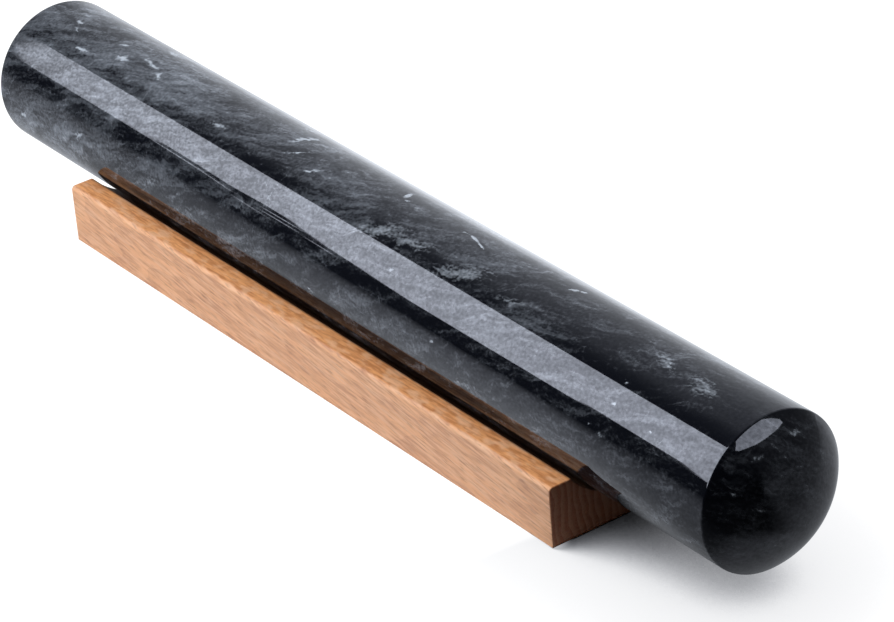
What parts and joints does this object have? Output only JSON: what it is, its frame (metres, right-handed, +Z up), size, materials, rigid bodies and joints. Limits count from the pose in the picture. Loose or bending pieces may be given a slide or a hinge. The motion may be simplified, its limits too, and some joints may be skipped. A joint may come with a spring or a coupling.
{
  "type": "marble rolling pin with wooden cradle",
  "caption": "Solid marble rolling pin without handles, domed at both ends, lying in a grooved wooden cradle that keeps it from rolling away.",
  "frame": {"origin": "on the table surface, under the middle of the pin's length and width", "axes": "+X along the pin's axis, towards the end nearer the camera in the picture; +Y away from the cradle's front face; +Z up"},
  "size_m": [0.4, 0.062, 0.0613],
  "materials": {
    "marble": "polished black marble with grey clouding and white flecks",
    "beech": "sanded and thinly oiled beech"
  },
  "bodies": {
    "cradle": {"cradle": "beech"},
    "pin": {"rolling_pin": "marble"}
  },
  "joints": [
    {"name": "pin_lift", "type": "slide", "parent": "cradle", "child": "pin", "axis": [0, 0, 1], "range_m": [0, 0.08]}
  ]
}
